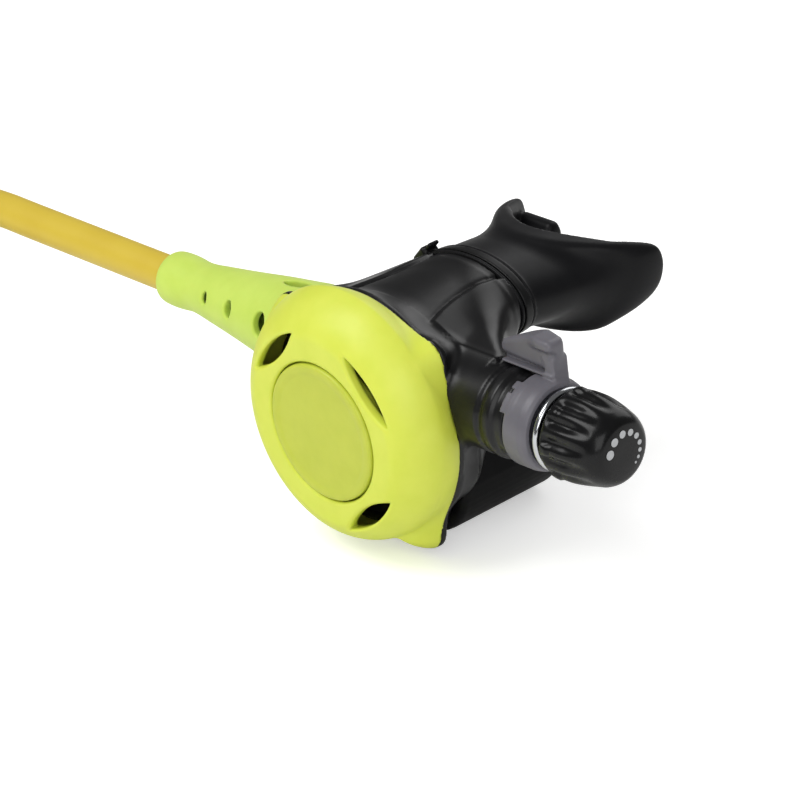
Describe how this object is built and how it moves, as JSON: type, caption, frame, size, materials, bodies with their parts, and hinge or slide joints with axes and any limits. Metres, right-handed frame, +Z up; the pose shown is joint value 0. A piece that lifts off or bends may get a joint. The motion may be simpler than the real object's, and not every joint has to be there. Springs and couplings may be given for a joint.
{
  "type": "scuba second stage",
  "caption": "Scuba second stage: domed cover with purge button, side adjusting knob and venturi lever, mouthpiece, exhaust tee and a low-pressure hose with its first-stage end.",
  "frame": {"origin": "middle of the exhaust tee's flat underside, which the set rests on", "axes": "+X along the valve barrel to the adjusting knob, +Y from the purge button back to the mouthpiece, +Z up"},
  "size_m": [0.4943, 0.1619, 0.0833],
  "materials": {
    "case_black": "moulded satin black plastic",
    "tee_black": "moulded satin black plastic",
    "cover_lime": "moulded satin lime-yellow plastic",
    "button_lime": "moulded satin lime-yellow plastic, a shade darker",
    "boot_lime": "soft lime rubber",
    "hose_yellow": "extruded orange-yellow rubber",
    "mouthpiece_black": "soft moulded black silicone",
    "tie_black": "black nylon",
    "lever_grey": "moulded warm grey plastic",
    "knob_black": "moulded glossy black plastic",
    "dot_grey": "light grey printed inlay",
    "chrome": "polished chrome on brass",
    "brass": "machined brass",
    "spring_steel": "drawn stainless wire",
    "seal_rubber": "moulded black seal rubber",
    "diaphragm_rubber": "thin moulded dark rubber",
    "retainer_plastic": "moulded dark plastic"
  },
  "bodies": {
    "root": {"case": "case_black", "front_cover": "cover_lime", "purge_spring": "spring_steel", "diaphragm_retainer": "retainer_plastic", "diaphragm": "diaphragm_rubber", "valve_barrel": "chrome", "orifice": "brass", "orifice_oring": "seal_rubber", "poppet_spring": "spring_steel", "barrel_nut": "chrome", "exhaust_valve": "seal_rubber", "exhaust_tee": "tee_black", "mouthpiece": "mouthpiece_black", "mouthpiece_tie": "tie_black", "swivel_nut": "chrome", "hose_stem": "chrome", "hose_oring": "seal_rubber", "hose_ferrule": "chrome", "hose": "hose_yellow", "hose_coil": "hose_yellow", "hose_tail": "hose_yellow", "end_ferrule": "chrome", "end_fitting": "chrome", "end_oring": "seal_rubber"},
    "purge": {"purge_button": "button_lime"},
    "disc": {"diaphragm_disc": "chrome"},
    "lever": {"demand_lever": "spring_steel"},
    "poppet": {"poppet": "brass", "poppet_seat": "seal_rubber"},
    "knob": {"adjustment_knob": "knob_black", "knob_dots": "dot_grey"},
    "spindle": {"adjusting_spindle": "brass", "spindle_oring": "seal_rubber"},
    "venturi": {"venturi_lever": "lever_grey", "venturi_vane": "lever_grey", "vane_oring": "seal_rubber"},
    "boot": {"hose_protector": "boot_lime"}
  },
  "joints": [
    {"name": "purge_press", "type": "slide", "parent": "root", "child": "purge", "axis": [0, 1, 0], "range_m": [0, 0.004], "stiffness_N_per_m": 300, "springref_m": -0.004, "deforming": ["purge_spring"]},
    {"name": "diaphragm_press", "type": "slide", "parent": "root", "child": "disc", "axis": [0, 1, 0], "range_m": [0, 0.004], "deforming": ["diaphragm"]},
    {"name": "lever_tilt", "type": "hinge", "parent": "root", "child": "lever", "pos_m": [0.02, -0.027, 0.0535], "axis": [0, 0, -1], "range_deg": [0, 11.2]},
    {"name": "poppet_slide", "type": "slide", "parent": "root", "child": "poppet", "axis": [1, 0, 0], "range_m": [0, 0.0013], "deforming": ["poppet_spring"]},
    {"name": "knob_turn", "type": "hinge", "parent": "root", "child": "knob", "pos_m": [0.084, -0.021, 0.0535], "axis": [1, 0, 0], "range_deg": [-720, 0]},
    {"name": "spindle_screw", "type": "slide", "parent": "knob", "child": "spindle", "axis": [-1, 0, 0], "range_m": [0, 0.00252]},
    {"name": "venturi_turn", "type": "hinge", "parent": "root", "child": "venturi", "pos_m": [0.062, -0.021, 0.0535], "axis": [1, 0, 0], "range_deg": [0, 60]},
    {"name": "boot_slide", "type": "slide", "parent": "root", "child": "boot", "axis": [-1, 0, 0], "range_m": [0, 0.04]}
  ],
  "couplings": [
    {"joint": "diaphragm_press", "follows": "purge_press", "ratio": 1},
    {"joint": "lever_tilt", "follows": "purge_press", "rad_per_m": 48.5},
    {"joint": "poppet_slide", "follows": "purge_press", "ratio": 0.3125},
    {"joint": "spindle_screw", "follows": "knob_turn", "m_per_rad": -0.00019894}
  ]
}
